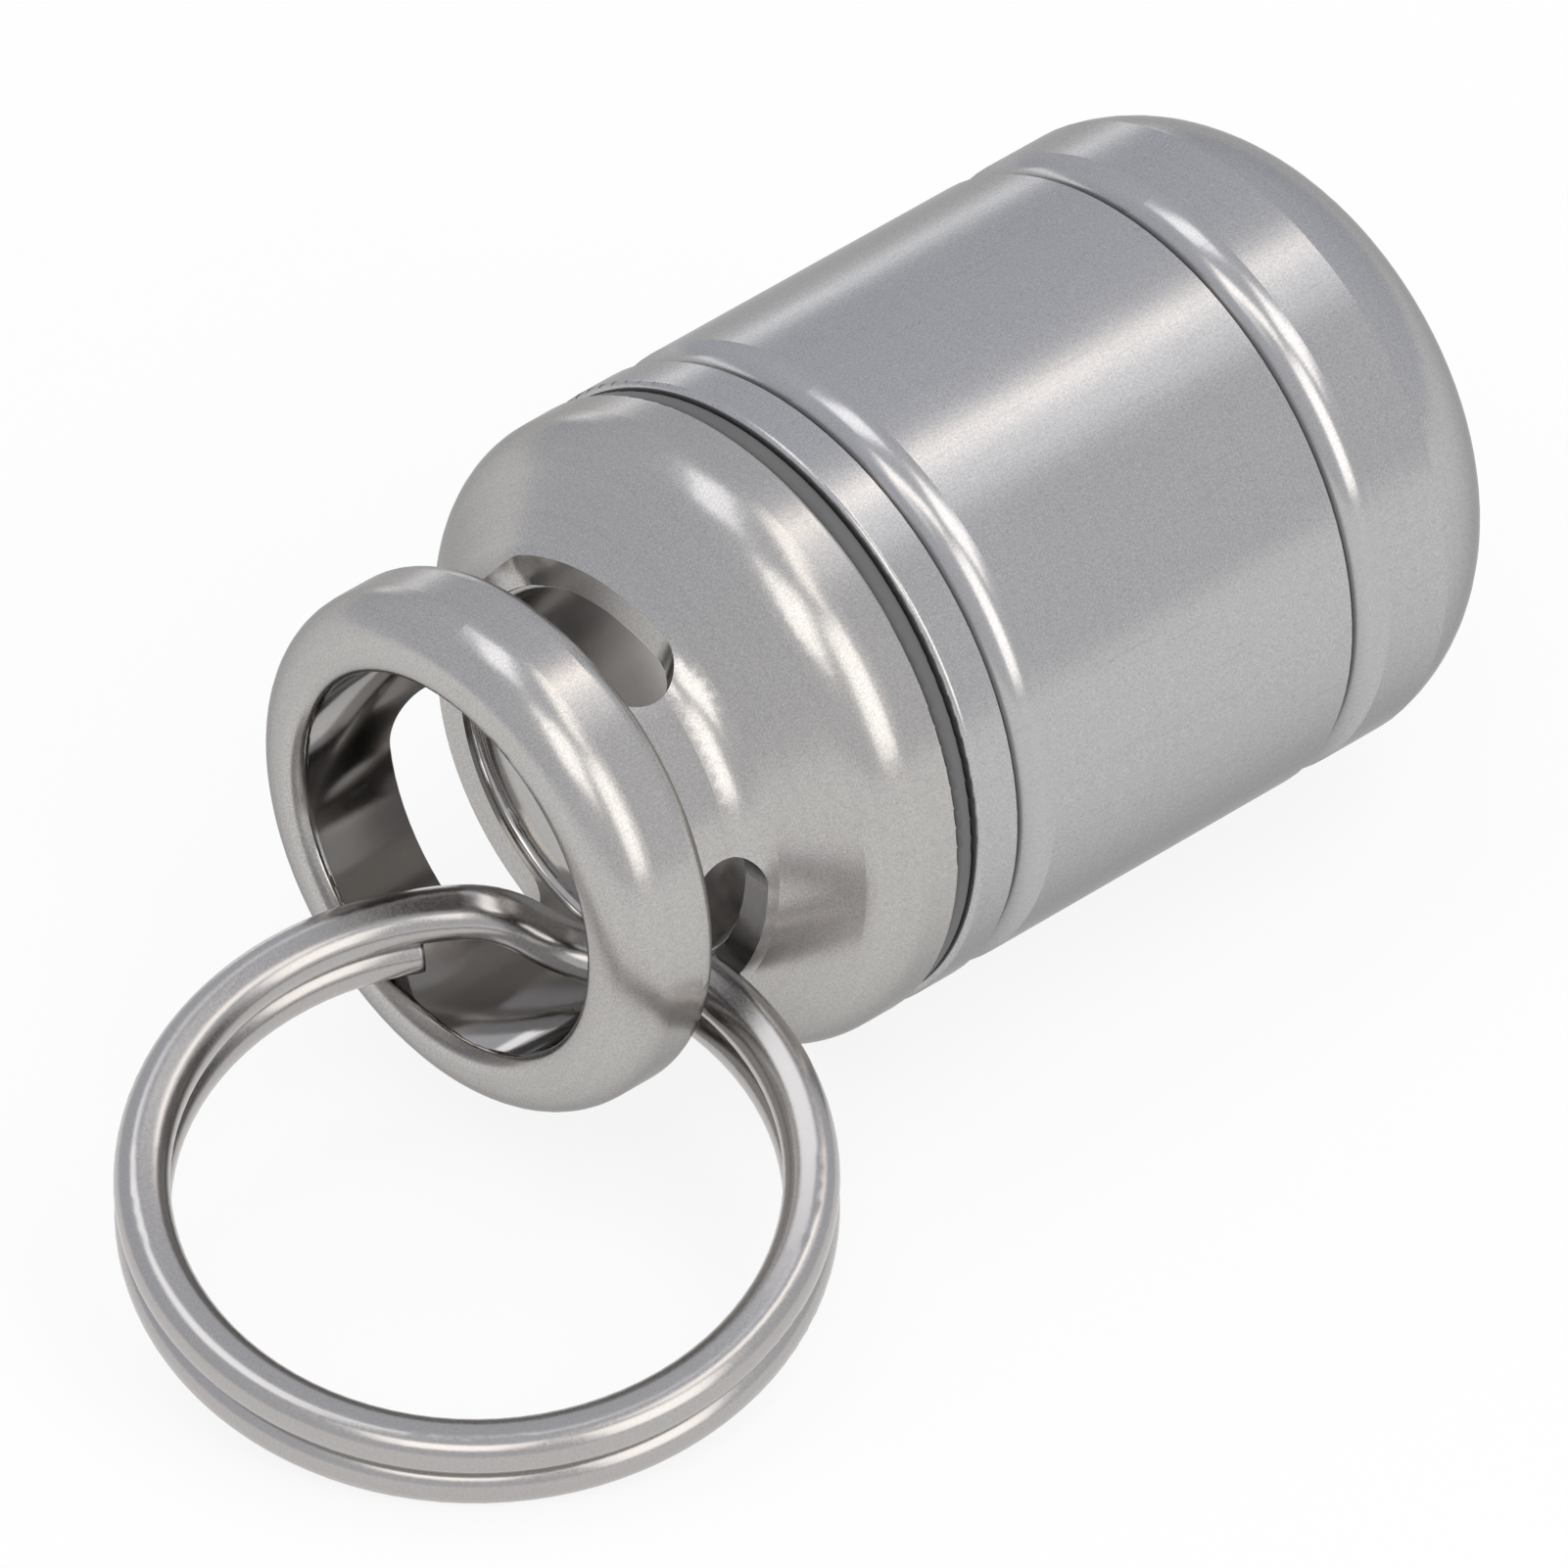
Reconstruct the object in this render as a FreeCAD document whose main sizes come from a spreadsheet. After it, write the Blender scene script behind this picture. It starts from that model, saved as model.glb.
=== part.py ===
"""Pill fob keychain: a screw-top canister with a looped cap, a seal and a split key ring.

Millimetres. While the pieces are drawn, the capsule's axis is X, with zero at the front of the loop and the
canister's closed end furthest along +X, and radii are measured up Z. At the end every piece is set down with
the capsule and the key ring lying on the floor, Z up, and the origin under the middle of the whole box.
"""
import FreeCAD, Part
import math
import os
import Sketcher

DRIVING_SIZES = (
    ("barrel_radius", 9.0, "outer radius of the canister and of the cap's rim"),
    ("rim_round", 0.18, "rounding of the two outer edges that face each other at the seam"),
    ("seam_gap", 0.65, "space between cap and canister, which the seal fills"),
    ("cut_overrun", 0.3, "how far every cutting shape runs past the metal"),

    ("canister_length", 20.54, "rim to closed end"),
    ("end_slope_length", 3.58, "barrel's last edge to the closed end"),
    ("end_slope_angle", 9.6, "how the barrel draws in past that edge, degrees"),
    ("canister_end_round", 4.2, "rounding between that slope and the closed end"),
    ("near_groove_offset", 2.06, "rim to the middle of the first turned groove"),
    ("far_groove_setback", 6.37, "closed end to the middle of the second turned groove"),
    ("groove_round", 0.97, "radius of the grooves' section"),
    ("groove_depth", 0.3, "depth of the grooves"),
    ("mouth_wall", 1.5, "metal round the plain mouth"),
    ("mouth_depth", 1.2, "depth of the plain mouth ahead of the inside thread"),
    ("mouth_clearance", 0.25, "mouth radius beyond the thread's crest"),
    ("mouth_chamfer", 0.25, "chamfer of the mouth's edge"),
    ("female_depth", 5.0, "rim to the end of the inside thread"),
    ("female_relief_length", 1.3, "undercut past the inside thread"),
    ("cavity_step", 0.45, "pill cavity's wall in from the inside thread's crest"),
    ("cavity_floor_round", 1.8, "rounding at the cavity's floor"),
    ("base_thickness", 2.2, "metal left at the closed end"),

    ("thread_pitch", 1.0, "advance per turn"),
    ("thread_depth", 0.55, "crest to root"),
    ("thread_flank_angle", 30.0, "flank from the radial direction, degrees"),
    ("thread_crest_share", 0.125, "crest width as a share of the pitch"),
    ("thread_crest_clearance", 0.12, "inside thread's root beyond the spigot's crest"),
    ("thread_root_clearance", 0.15, "inside thread's crest beyond the spigot's root"),
    ("thread_flank_clearance", 0.12, "axial play of each flank"),

    ("shoulder_depth", 2.08, "cap's rim to the corner between rim land and shoulder cone"),
    ("shoulder_angle", 50.0, "shoulder cone from the axis, degrees"),
    ("shoulder_round", 2.05, "rounding between rim land and shoulder cone"),
    ("neck_radius", 6.0, "outside radius of the drawn-in neck"),
    ("neck_run", 2.4327, "bead's back to the corner between neck and shoulder cone"),
    ("neck_round", 1.5, "rounding between neck and shoulder cone"),
    ("neck_wall", 0.53, "metal between the neck and the loop's blind bore"),
    ("bead_step", 1.45, "bead's height above the neck"),
    ("bead_thickness", 3.2, "bead along the axis"),
    ("bead_front_round_share", 0.7323, "outer front edge of the bead, of the metal round the bore"),
    ("bead_back_round_share", 0.448, "outer back edge of the bead, of its height"),
    ("bead_root_round_share", 0.483, "corner between bead and neck, of the bead's height"),
    ("bore_mouth_round_share", 0.2525, "rounding of the bore's mouth, of the metal round the bore"),
    ("bore_floor_margin", 0.43, "slots' far edge to the bore's floor"),
    ("bore_floor_round", 0.3, "rounding at the bore's floor"),
    ("slot_setback", 0.15, "bead's back to the slots' near edge"),
    ("slot_clearance", 1.05, "slots' width beyond the key ring's wire"),
    ("slot_span", 75.7, "slots round the neck, end to end, degrees"),
    ("slot_turn", -3.3, "turn of the first slot from straight up, degrees"),
    ("slot_count", 3, "slots round the neck"),
    ("web_thickness", 1.8, "metal between the bore's floor and the spigot's hollow"),
    ("spigot_wall", 1.5, "metal between the spigot's thread and its hollow"),
    ("spigot_end_clearance", 1.1, "spigot's end short of the inside undercut's end"),
    ("spigot_chamfer", 0.5, "lead-in at the spigot's end"),
    ("land_depth", 0.4, "how far the spigot's plain land enters the mouth"),
    ("land_clearance", 0.12, "mouth radius beyond the plain land"),
    ("male_relief_length", 1.0, "undercut between plain land and thread"),
    ("male_relief_step", 0.1, "undercut below the thread's root"),

    ("seal_recess", 0.16, "seal's outer edge below the barrel's surface"),
    ("seal_fit", 0.05, "seal's inner edge beyond the plain land"),
    ("seal_clearance", 0.01, "seal's faces from the metal"),
    ("seal_edge_share", 0.35, "rounding of the seal's edges as a share of its thickness"),

    ("ring_outer_radius", 9.4, "outside radius of the key ring"),
    ("wire_width", 1.47, "key ring's wire across the ring"),
    ("wire_thickness", 1.17, "key ring's wire along the ring's axis"),
    ("wire_round_share", 0.46, "rounding of the wire's edges as a share of its thickness"),
    ("coil_gap", 0.08, "space between the two coils"),
    ("coil_start", 100.0, "angle of the lower coil's end from the ring's right, degrees"),
    ("jog_start", 69.0, "angle where the wire leaves the lower coil, degrees"),
    ("jog_end", 93.0, "angle where the wire reaches the upper coil, degrees"),
    ("coil_end", 64.0, "angle of the upper coil's end, degrees"),
    ("ring_heading", -43.1, "direction of the ring's right-hand side from +X, degrees"),
    ("ring_tilt", 14.85, "lift of the ring's far side, degrees"),
    ("ring_pass_turn", 20.0, "where round the ring its wire passes the loop, from its far side, degrees"),
    ("ring_pass_setback", 0.0326, "bead's back to the wire's inner edge there"),
    ("ring_pass_aside", 2.0696, "capsule's axis across to the wire's inner edge there"),
    ("ring_pass_above", 1.8745, "bottom of the bore up to the wire's inner edge there"),
)

WORKED_OUT_PLACES = (
    ("neck_corner", "bead_thickness + neck_run"),
    ("shoulder_corner", "neck_corner + (barrel_radius - neck_radius) / tan(shoulder_angle * 1deg)"),
    ("cap_rim", "shoulder_corner + shoulder_depth"),
    ("canister_rim", "cap_rim + seam_gap"),
    ("canister_end", "canister_rim + canister_length"),
    ("end_slope_start", "canister_end - end_slope_length"),
    ("end_slope_radius", "barrel_radius - end_slope_length * tan(end_slope_angle * 1deg)"),

    ("mouth_radius", "barrel_radius - mouth_wall"),
    ("thread_radius", "mouth_radius - mouth_clearance"),
    ("mouth_chamfer_radius", "mouth_radius + mouth_chamfer"),
    ("mouth_chamfer_end", "canister_rim + mouth_chamfer"),
    ("mouth_end", "canister_rim + mouth_depth"),
    ("thread_root_radius", "thread_radius - thread_depth"),
    ("female_bore_radius", "thread_root_radius + thread_root_clearance"),
    ("female_root_radius", "thread_radius + thread_crest_clearance"),
    ("female_end", "canister_rim + female_depth"),
    ("female_relief_end", "female_end + female_relief_length"),
    ("cavity_radius", "female_bore_radius - cavity_step"),
    ("cavity_floor", "canister_end - base_thickness"),
    ("near_groove_middle", "canister_rim + near_groove_offset"),
    ("far_groove_middle", "canister_end - far_groove_setback"),
    ("groove_centre_radius", "barrel_radius - groove_depth + groove_round"),

    ("bead_radius", "neck_radius + bead_step"),
    ("bore_radius", "neck_radius - neck_wall"),
    ("bead_front_round", "(bead_radius - bore_radius) * bead_front_round_share"),
    ("bore_mouth_round", "(bead_radius - bore_radius) * bore_mouth_round_share"),
    ("bead_back_round", "bead_step * bead_back_round_share"),
    ("bead_root_round", "bead_step * bead_root_round_share"),
    ("slot_offset", "bead_thickness + slot_setback"),
    ("slot_width", "wire_width + slot_clearance"),
    ("bore_depth", "slot_offset + slot_width + bore_floor_margin"),
    ("hollow_radius", "thread_root_radius - spigot_wall"),
    ("hollow_floor", "bore_depth + web_thickness"),
    ("land_radius", "mouth_radius - land_clearance"),
    ("land_end", "canister_rim + land_depth"),
    ("male_relief_radius", "thread_root_radius - male_relief_step"),
    ("male_relief_end", "land_end + male_relief_length"),
    ("spigot_end", "female_relief_end - spigot_end_clearance"),
    ("spigot_chamfer_start", "spigot_end - spigot_chamfer"),
    ("spigot_tip_radius", "thread_radius - spigot_chamfer"),
    ("slot_middle", "slot_offset + slot_width / 2"),
    ("slot_end_round", "slot_width / 2"),
    ("slot_sector_half", "slot_span / 2 - asin(slot_end_round / neck_radius) / 1deg"),
    ("slot_near_across", "cut_overrun * sin(slot_sector_half * 1deg)"),
    ("slot_near_up", "cut_overrun * cos(slot_sector_half * 1deg)"),
    ("slot_far_across", "barrel_radius * sin(slot_sector_half * 1deg)"),
    ("slot_far_up", "barrel_radius * cos(slot_sector_half * 1deg)"),
    ("slot_first_end_turn", "slot_turn - slot_sector_half"),
    ("slot_last_end_turn", "slot_turn + slot_sector_half"),

    ("flank_rise", "thread_depth * tan(thread_flank_angle * 1deg)"),
    ("male_crest_half", "thread_pitch * (1 - thread_crest_share) / 2"),
    ("male_root_half", "male_crest_half - flank_rise"),
    ("male_cut_radius", "thread_radius + cut_overrun"),
    ("male_start", "land_end + male_relief_length / 2"),
    ("male_crest_before", "male_start - male_crest_half"),
    ("male_crest_after", "male_start + male_crest_half"),
    ("male_root_before", "male_start - male_root_half"),
    ("male_root_after", "male_start + male_root_half"),
    ("male_run", "spigot_end + thread_pitch - male_start"),

    ("female_crest_half", "thread_pitch / 2 - male_root_half + thread_flank_clearance"
                          " - thread_root_clearance * tan(thread_flank_angle * 1deg)"),
    ("female_root_half", "thread_pitch / 2 - male_crest_half + thread_flank_clearance"
                         " - thread_crest_clearance * tan(thread_flank_angle * 1deg)"),
    ("female_cut_radius", "female_bore_radius - cut_overrun"),
    ("female_start", "male_start - thread_pitch / 2"),
    ("female_crest_before", "female_start - female_crest_half"),
    ("female_crest_after", "female_start + female_crest_half"),
    ("female_root_before", "female_start - female_root_half"),
    ("female_root_after", "female_start + female_root_half"),
    ("female_run", "female_end + female_relief_length / 2 - female_start"),

    ("seal_inner_radius", "land_radius + seal_fit"),
    ("seal_outer_radius", "barrel_radius - seal_recess"),
    ("seal_front", "cap_rim + seal_clearance"),
    ("seal_back", "canister_rim - seal_clearance"),
    ("seal_edge_round", "(seal_back - seal_front) * seal_edge_share"),

    ("wire_round", "wire_thickness * wire_round_share"),
)

FULL_TURN = 360.0
QUARTER_TURN = 90.0
ZERO = None
SAME_PLACE_SHARE = 1e-4
GAP_POINTS = 400

doc = FreeCAD.newDocument("pill_fob")
sheet = doc.addObject("Spreadsheet::Sheet", "sizes")


def fill_sheet():
    """One row per size: its meaning, then its number or the sum that gives it, under the size's own name."""
    rows = [(name, str(number), note) for name, number, note in DRIVING_SIZES]
    rows += [(name, "=" + rule, "worked out") for name, rule in WORKED_OUT_PLACES]
    for row, (name, content, note) in enumerate(rows, start=1):
        sheet.set(f"A{row}", note)
        sheet.set(f"B{row}", content)
        sheet.setAlias(f"B{row}", name)
    doc.recompute()


def size(name):
    return 0.0 if name is ZERO else float(sheet.get(name))


def bind(feature, field, name):
    feature.setExpression(field, f"sizes.{name}")


def origin_feature(body, role):
    return next(item for item in body.Origin.OriginFeatures if item.Role == role)


def new_body(label):
    body = doc.addObject("PartDesign::Body", label)
    body.Label = label
    return body


def new_sketch(body, name, plane):
    sketch = body.newObject("Sketcher::SketchObject", name)
    sketch.AttachmentSupport = (origin_feature(body, plane), [""])
    sketch.MapMode = "FlatFace"
    return sketch


def place_point(sketch, geometry, point, across, up):
    """Tie one point of a sketch to two named sizes, measured from the sketch's origin."""
    for kind, name, axis in (("DistanceX", across, -2), ("DistanceY", up, -1)):
        if name is ZERO:
            sketch.addConstraint(Sketcher.Constraint("PointOnObject", geometry, point, axis))
            continue
        index = sketch.addConstraint(Sketcher.Constraint(kind, -1, 1, geometry, point, size(name)))
        bind(sketch, f"Constraints[{index}]", name)


def draw_outline(sketch, corners):
    """Closed outline of straight edges through corners that are pairs of size names."""
    at = [FreeCAD.Vector(size(across), size(up)) for across, up in corners]
    count = len(corners)
    for index in range(count):
        sketch.addGeometry(Part.LineSegment(at[index], at[(index + 1) % count]), False)
    for index in range(count):
        sketch.addConstraint(Sketcher.Constraint("Coincident", index, 2, (index + 1) % count, 1))
    for index, (across, up) in enumerate(corners):
        place_point(sketch, index, 1, across, up)


def draw_circle(sketch, across, up, radius):
    centre = FreeCAD.Vector(size(across), size(up))
    sketch.addGeometry(Part.Circle(centre, FreeCAD.Vector(0, 0, 1), size(radius)), False)
    place_point(sketch, 0, 3, across, up)
    index = sketch.addConstraint(Sketcher.Constraint("Radius", 0, size(radius)))
    bind(sketch, f"Constraints[{index}]", radius)


def turned(body, name, corners):
    """Solid turned about the capsule's axis."""
    sketch = new_sketch(body, f"{name}_outline", "XZ_Plane")
    draw_outline(sketch, corners)
    solid = body.newObject("PartDesign::Revolution", name)
    solid.Profile = sketch
    solid.ReferenceAxis = (sketch, ["H_Axis"])
    solid.Angle = FULL_TURN
    doc.recompute()
    return solid


def turned_edge(shape, station, radius):
    """Name of the round edge about the capsule's axis at a station and a radius."""
    near = radius * SAME_PLACE_SHARE
    for number, edge in enumerate(shape.Edges, start=1):
        curve = edge.Curve
        if not isinstance(curve, Part.Circle):
            continue
        if abs(curve.Center.x - station) < near and abs(curve.Radius - radius) < near:
            return f"Edge{number}"
    raise RuntimeError(f"no round edge at {station} with radius {radius}")


def rounded(body, name, radius, edges):
    """Round the turned edges that lie at the named stations and radii."""
    base = body.Tip
    fillet = body.newObject("PartDesign::Fillet", name)
    fillet.Base = (base, [turned_edge(base.Shape, size(station), size(at)) for station, at in edges])
    fillet.Radius = size(radius)
    bind(fillet, "Radius", radius)
    doc.recompute()
    return fillet


def cut(feature):
    """Recompute a cut and make sure that it took metal away."""
    before = feature.BaseFeature.Shape.Volume
    doc.recompute()
    if not feature.Shape.Volume < before:
        raise RuntimeError(f"{feature.Name} cuts nothing")


def turned_groove(body, name, middle):
    sketch = new_sketch(body, f"{name}_section", "XZ_Plane")
    draw_circle(sketch, middle, "groove_centre_radius", "groove_round")
    groove = body.newObject("PartDesign::Groove", name)
    groove.Profile = sketch
    groove.ReferenceAxis = (sketch, ["H_Axis"])
    groove.Angle = FULL_TURN
    cut(groove)


def helical_cut(body, name, corners, run):
    """Thread: a groove section carried along a right-hand helix about the capsule's axis."""
    sketch = new_sketch(body, f"{name}_section", "XZ_Plane")
    draw_outline(sketch, corners)
    thread = body.newObject("PartDesign::SubtractiveHelix", name)
    thread.Profile = sketch
    thread.ReferenceAxis = (sketch, ["H_Axis"])
    thread.Mode = "pitch-height-angle"
    thread.LeftHanded = False
    thread.Reversed = False
    bind(thread, "Pitch", "thread_pitch")
    bind(thread, "Height", run)
    cut(thread)


def make_canister():
    """Turned cup: plain mouth, inside thread, undercut and pill cavity; two grooves round the outside."""
    body = new_body("canister")
    turned(body, "canister_blank", (
        ("canister_rim", "barrel_radius"),
        ("end_slope_start", "barrel_radius"),
        ("canister_end", "end_slope_radius"),
        ("canister_end", ZERO),
        ("cavity_floor", ZERO),
        ("cavity_floor", "cavity_radius"),
        ("female_relief_end", "cavity_radius"),
        ("female_relief_end", "mouth_radius"),
        ("female_end", "mouth_radius"),
        ("female_end", "female_bore_radius"),
        ("mouth_end", "female_bore_radius"),
        ("mouth_end", "mouth_radius"),
        ("mouth_chamfer_end", "mouth_radius"),
        ("canister_rim", "mouth_chamfer_radius"),
    ))
    rounded(body, "closed_end_round", "canister_end_round", [("canister_end", "end_slope_radius")])
    rounded(body, "cavity_round", "cavity_floor_round", [("cavity_floor", "cavity_radius")])
    rounded(body, "canister_rim_round", "rim_round", [("canister_rim", "barrel_radius")])
    turned_groove(body, "near_groove", "near_groove_middle")
    turned_groove(body, "far_groove", "far_groove_middle")
    helical_cut(body, "inside_thread", (
        ("female_crest_before", "female_cut_radius"),
        ("female_crest_after", "female_cut_radius"),
        ("female_crest_after", "female_bore_radius"),
        ("female_root_after", "female_root_radius"),
        ("female_root_before", "female_root_radius"),
        ("female_crest_before", "female_bore_radius"),
    ), "female_run")
    return body


def slot_pocket(body, name, sketch, length):
    pocket = body.newObject("PartDesign::Pocket", name)
    pocket.Profile = sketch
    pocket.Reversed = True
    bind(pocket, "Length", length)
    cut(pocket)
    return pocket


def slot_sector(body):
    """Middle of a slot: a wedge out from the axis, between the centres of the slot's rounded ends."""
    sketch = new_sketch(body, "slot_sector_outline", "YZ_Plane")
    near = (size("slot_near_across"), size("slot_near_up"))
    far = (size("slot_far_across"), size("slot_far_up"))
    right_near = FreeCAD.Vector(*near)
    right_far = FreeCAD.Vector(*far)
    left_near = FreeCAD.Vector(-near[0], near[1])
    left_far = FreeCAD.Vector(-far[0], far[1])
    corners = (right_near, right_far, left_far, left_near)
    for index, corner in enumerate(corners):
        sketch.addGeometry(Part.LineSegment(corner, corners[(index + 1) % len(corners)]), False)
    for index in range(len(corners)):
        following = (index + 1) % len(corners)
        sketch.addConstraint(Sketcher.Constraint("Coincident", index, 2, following, 1))
    place_point(sketch, 0, 1, "slot_near_across", "slot_near_up")
    place_point(sketch, 0, 2, "slot_far_across", "slot_far_up")
    sketch.addConstraint(Sketcher.Constraint("Symmetric", 0, 1, 2, 2, -2))
    sketch.addConstraint(Sketcher.Constraint("Symmetric", 0, 2, 2, 1, -2))
    sketch.AttachmentOffset = FreeCAD.Placement(
        FreeCAD.Vector(0, 0, size("slot_offset")),
        FreeCAD.Rotation(FreeCAD.Vector(0, 0, 1), size("slot_turn")))
    bind(sketch, "AttachmentOffset.Base.z", "slot_offset")
    bind(sketch, "AttachmentOffset.Rotation.Angle", "slot_turn")
    doc.recompute()
    return slot_pocket(body, "slot_sector", sketch, "slot_width")


def slot_end(body, name, turn):
    """Rounded end of a slot: a round hole drilled straight out from the axis."""
    sketch = new_sketch(body, f"{name}_circle", "XY_Plane")
    draw_circle(sketch, "slot_middle", ZERO, "slot_end_round")
    sketch.AttachmentOffset = FreeCAD.Placement(
        FreeCAD.Vector(0, 0, 0), FreeCAD.Rotation(FreeCAD.Vector(1, 0, 0), size(turn)))
    bind(sketch, "AttachmentOffset.Rotation.Angle", turn)
    doc.recompute()
    return slot_pocket(body, name, sketch, "barrel_radius")


def make_screw_cap():
    """Turned cap: bead, slotted neck and shoulder outside, blind bore in front, threaded spigot behind."""
    body = new_body("screw_cap")
    turned(body, "cap_blank", (
        (ZERO, "bead_radius"),
        ("bead_thickness", "bead_radius"),
        ("bead_thickness", "neck_radius"),
        ("neck_corner", "neck_radius"),
        ("shoulder_corner", "barrel_radius"),
        ("cap_rim", "barrel_radius"),
        ("cap_rim", "land_radius"),
        ("land_end", "land_radius"),
        ("land_end", "male_relief_radius"),
        ("male_relief_end", "male_relief_radius"),
        ("male_relief_end", "thread_radius"),
        ("spigot_chamfer_start", "thread_radius"),
        ("spigot_end", "spigot_tip_radius"),
        ("spigot_end", "hollow_radius"),
        ("hollow_floor", "hollow_radius"),
        ("hollow_floor", ZERO),
        ("bore_depth", ZERO),
        ("bore_depth", "bore_radius"),
        (ZERO, "bore_radius"),
    ))
    rounded(body, "shoulder_rounding", "shoulder_round", [("shoulder_corner", "barrel_radius")])
    rounded(body, "neck_rounding", "neck_round", [("neck_corner", "neck_radius")])
    rounded(body, "bead_back_rounding", "bead_back_round", [("bead_thickness", "bead_radius")])
    rounded(body, "bead_root_rounding", "bead_root_round", [("bead_thickness", "neck_radius")])
    rounded(body, "bore_floor_rounding", "bore_floor_round", [("bore_depth", "bore_radius")])
    rounded(body, "cap_rim_rounding", "rim_round", [("cap_rim", "barrel_radius")])
    rounded(body, "bead_front_rounding", "bead_front_round", [(ZERO, "bead_radius")])
    rounded(body, "bore_mouth_rounding", "bore_mouth_round", [(ZERO, "bore_radius")])
    slot = [
        slot_sector(body),
        slot_end(body, "slot_first_end", "slot_first_end_turn"),
        slot_end(body, "slot_last_end", "slot_last_end_turn"),
    ]
    slots = body.newObject("PartDesign::PolarPattern", "slots")
    slots.Originals = slot
    slots.Axis = (origin_feature(body, "X_Axis"), [""])
    slots.Angle = FULL_TURN
    bind(slots, "Occurrences", "slot_count")
    body.Tip = slots
    doc.recompute()
    helical_cut(body, "spigot_thread", (
        ("male_crest_before", "male_cut_radius"),
        ("male_crest_after", "male_cut_radius"),
        ("male_crest_after", "thread_radius"),
        ("male_root_after", "thread_root_radius"),
        ("male_root_before", "thread_root_radius"),
        ("male_crest_before", "thread_radius"),
    ), "male_run")
    return body


def make_o_ring():
    """Rubber ring squeezed flat between the two rims, round the spigot's plain land."""
    body = new_body("o_ring")
    turned(body, "seal_blank", (
        ("seal_front", "seal_outer_radius"),
        ("seal_back", "seal_outer_radius"),
        ("seal_back", "seal_inner_radius"),
        ("seal_front", "seal_inner_radius"),
    ))
    rounded(body, "seal_rounding", "seal_edge_round", [
        (face, edge) for face in ("seal_front", "seal_back")
        for edge in ("seal_inner_radius", "seal_outer_radius")
    ])
    return body


def on_coil(angle, height, radius):
    """Point at an angle in degrees on one coil of the key ring, and the wire's direction there."""
    turn = math.radians(angle)
    point = FreeCAD.Vector(radius * math.cos(turn), radius * math.sin(turn), height)
    along = FreeCAD.Vector(-math.sin(turn), math.cos(turn), 0)
    return point, along


def coil_arcs(first, last, height, radius):
    """Quarter-turn arcs, or shorter, that lie flat in one coil between two angles."""
    count = math.ceil((last - first) / QUARTER_TURN)
    angles = [first + (last - first) * step / count for step in range(count + 1)]
    arcs = []
    for start, end in zip(angles, angles[1:]):
        points = [on_coil(angle, height, radius)[0] for angle in (start, (start + end) / 2, end)]
        arcs.append(Part.Arc(*points))
    return arcs


def tangent_arc(start, corner, end):
    """Arc from start to end whose end tangents both meet at a corner as far from one as from the other."""
    middle = (start + end) / 2
    reach = (corner - start).Length
    half_turn = math.asin((corner - middle).Length / reach)
    bulge = reach * math.cos(half_turn) * math.tan(half_turn / 2)
    return Part.Arc(start, middle + (corner - middle).normalize() * bulge, end)


def step_arcs(start, start_along, end, end_along):
    """Two arcs that leave one coil along its wire, meet smoothly half way and join the other coil."""
    chord = end - start
    both = start_along + end_along
    square = both.dot(both) - 4
    linear = chord.dot(both)
    reach = (linear - math.sqrt(linear ** 2 - square * chord.dot(chord))) / square
    first_corner = start + start_along * reach
    last_corner = end - end_along * reach
    middle = (first_corner + last_corner) / 2
    return [tangent_arc(start, first_corner, middle), tangent_arc(middle, last_corner, end)]


def wire_section(point, outward, upward):
    """Flattened wire: a rectangle with rounded corners, across the ring and along the ring's axis."""
    half_width = size("wire_width") / 2
    half_thickness = size("wire_thickness") / 2
    corner_round = size("wire_round")
    slant = corner_round * (1 - math.sqrt(0.5))
    edges = []

    def at(across, up):
        return point + outward * across + upward * up

    for side, face in ((1, 1), (-1, 1), (-1, -1), (1, -1)):
        on_side = at(side * half_width, face * (half_thickness - corner_round))
        on_corner = at(side * (half_width - slant), face * (half_thickness - slant))
        on_face = at(side * (half_width - corner_round), face * half_thickness)
        arc = (on_side, on_corner, on_face) if side == face else (on_face, on_corner, on_side)
        if edges:
            edges.append(Part.LineSegment(edges[-1].EndPoint, arc[0]))
        edges.append(Part.Arc(*arc))
    edges.append(Part.LineSegment(edges[-1].EndPoint, edges[0].StartPoint))
    return Part.Wire([edge.toShape() for edge in edges])


def least_coil_gap(path, turns):
    """Least space between two passes of the wire, from points along it that lie half a turn apart or more."""
    width = size("wire_width")
    thickness = size("wire_thickness")
    points = path.discretize(Number=GAP_POINTS)
    spacing = path.Length / GAP_POINTS
    half_turn = int(GAP_POINTS / turns / 2)
    least = math.inf
    for index, here in enumerate(points):
        outward = FreeCAD.Vector(here.x, here.y, 0).normalize()
        for there in points[index + half_turn:]:
            step = there - here
            across = step.dot(outward)
            along = outward.x * step.y - outward.y * step.x
            past_side = max(0, abs(across) - width)
            past_top = max(0, abs(step.z) - thickness)
            least = min(least, math.hypot(max(0, abs(along) - spacing), past_side, past_top))
    return least


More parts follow.
